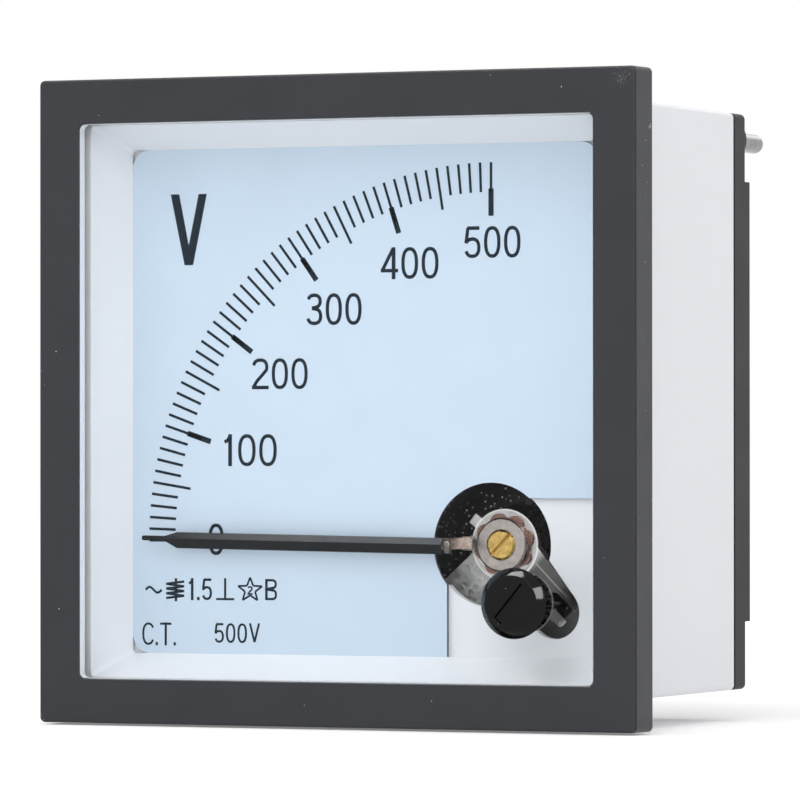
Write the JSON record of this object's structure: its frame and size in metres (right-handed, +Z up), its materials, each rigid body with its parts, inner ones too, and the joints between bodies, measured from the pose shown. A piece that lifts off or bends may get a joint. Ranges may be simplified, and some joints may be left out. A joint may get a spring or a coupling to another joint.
{
  "type": "analog panel meter",
  "caption": "Square panel voltmeter with framed clear window, quarter-circle scale, pivoted pointer, zero adjuster, deep box case, rear mounting studs and screw terminals.",
  "frame": {"origin": "centre of the panel seat, the back face of the bezel", "axes": "+X to the right seen from the front, +Y into the panel towards the rear terminals, +Z up"},
  "size_m": [0.072, 0.0546, 0.072],
  "materials": {
    "bezel_plastic": "fine-grained moulded thermoplastic, satin",
    "clear_pane": "polished clear pane",
    "white_plastic": "moulded, semi-gloss",
    "painted_dial": "pale blue matt lacquer with printed scale",
    "black_plastic": "moulded, satin",
    "plated_steel": "bright zinc plate",
    "brass": "machined",
    "tinned_brass": "tin plated",
    "ceramic_rod": "glazed matt green",
    "tinned_copper": "tinned solid wire",
    "galvanised_steel": "galvanised, spangled",
    "jewel": "polished synthetic stone",
    "spring_bronze": "bare spring strip",
    "black_moulding": "moulded, satin",
    "enamelled_wire": "enamelled wire, layer wound",
    "soft_iron": "annealed sheet",
    "cast_magnet": "as cast and ground",
    "black_cap": "polished moulding",
    "black_aluminium": "black lacquer",
    "bare_aluminium": "rolled sheet"
  },
  "bodies": {
    "housing": {"bezel": "bezel_plastic", "window": "clear_pane", "dial_tray": "white_plastic", "dial_plate": "painted_dial", "case_shell": "white_plastic", "rear_cover": "black_plastic", "cover_screws": "plated_steel", "mounting_studs": "plated_steel", "terminal_studs": "brass", "solder_tags": "tinned_brass", "terminal_washers": "plated_steel", "spring_washers": "plated_steel", "terminal_nuts": "brass", "series_resistor": "ceramic_rod", "lead_wires": "tinned_copper", "movement_frame": "galvanised_steel", "frame_screws": "plated_steel", "regulator_bush": "brass", "front_jewel_screw": "brass", "front_jewel": "jewel", "ring_nut": "plated_steel", "lobed_washer": "spring_bronze", "rear_jewel_screw": "brass", "rear_jewel": "jewel", "rear_lock_nut": "brass", "coil_bobbin": "black_moulding", "coil_winding": "enamelled_wire", "fixed_iron": "soft_iron", "damping_magnet": "cast_magnet"},
    "zero_adjuster": {"zero_adjuster": "black_cap", "adjuster_retainer": "spring_bronze"},
    "regulator": {"regulator": "plated_steel", "hairspring": "spring_bronze"},
    "pointer": {"pointer": "black_aluminium", "pointer_stem": "spring_bronze", "pointer_hub": "brass", "hairspring_collet": "brass", "spindle": "plated_steel", "balance_weight": "brass", "moving_iron": "soft_iron", "damping_vane": "bare_aluminium"}
  },
  "joints": [
    {"name": "adjuster_turn", "type": "hinge", "parent": "housing", "child": "zero_adjuster", "pos_m": [0.02172, -0.004, -0.0221], "axis": [0, 1, 0], "range_deg": [-60, 60]},
    {"name": "regulator_turn", "type": "hinge", "parent": "housing", "child": "regulator", "pos_m": [0.01557, 0.0075, -0.01595], "axis": [0, 1, 0], "range_deg": [-3.7, 3.7]},
    {"name": "pointer_swing", "type": "hinge", "parent": "regulator", "child": "pointer", "pos_m": [0.01557, 0.0075, -0.01595], "axis": [0, 1, 0], "range_deg": [-3, 92.5], "stiffness_Nm_per_rad": 0.00003, "deforming": ["hairspring"]}
  ],
  "couplings": [
    {"joint": "regulator_turn", "follows": "adjuster_turn", "ratio": 0.06}
  ]
}
